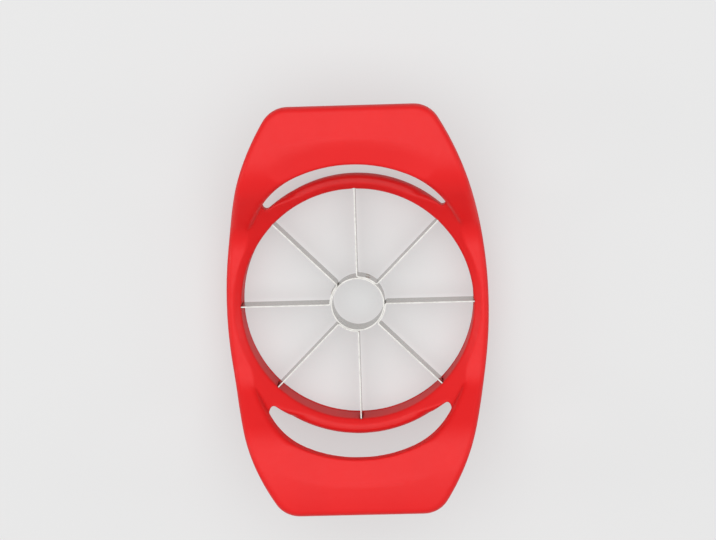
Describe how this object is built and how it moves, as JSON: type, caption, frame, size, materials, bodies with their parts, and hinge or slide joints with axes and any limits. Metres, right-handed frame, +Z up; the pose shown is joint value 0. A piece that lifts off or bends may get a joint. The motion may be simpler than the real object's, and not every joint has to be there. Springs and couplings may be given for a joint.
{
  "type": "apple slicer and wedger",
  "caption": "Hand-pushed apple corer and wedger: a round blade star with a centre ring, held in a moulded frame whose two raised handles are pressed down by hand.",
  "frame": {"origin": "centre of the foot ring's underside, below the middle of the corer", "axes": "+Z up through the corer, +Y from the middle towards one raised handle, +X across towards one side rail"},
  "size_m": [0.124, 0.1916, 0.0483],
  "materials": {
    "red_plastic": "satin moulded red",
    "lock_plastic": "satin moulded red",
    "blade_steel": "cold-rolled stainless strip, bright ground edges",
    "corer_steel": "rolled stainless strip, bright ground edges"
  },
  "bodies": {
    "root": {"handle_frame": "red_plastic", "lock_ring": "lock_plastic", "corer_ring": "corer_steel", "blade_strip_1": "blade_steel", "blade_strip_2": "blade_steel", "blade_strip_3": "blade_steel", "blade_strip_4": "blade_steel"}
  },
  "joints": []
}
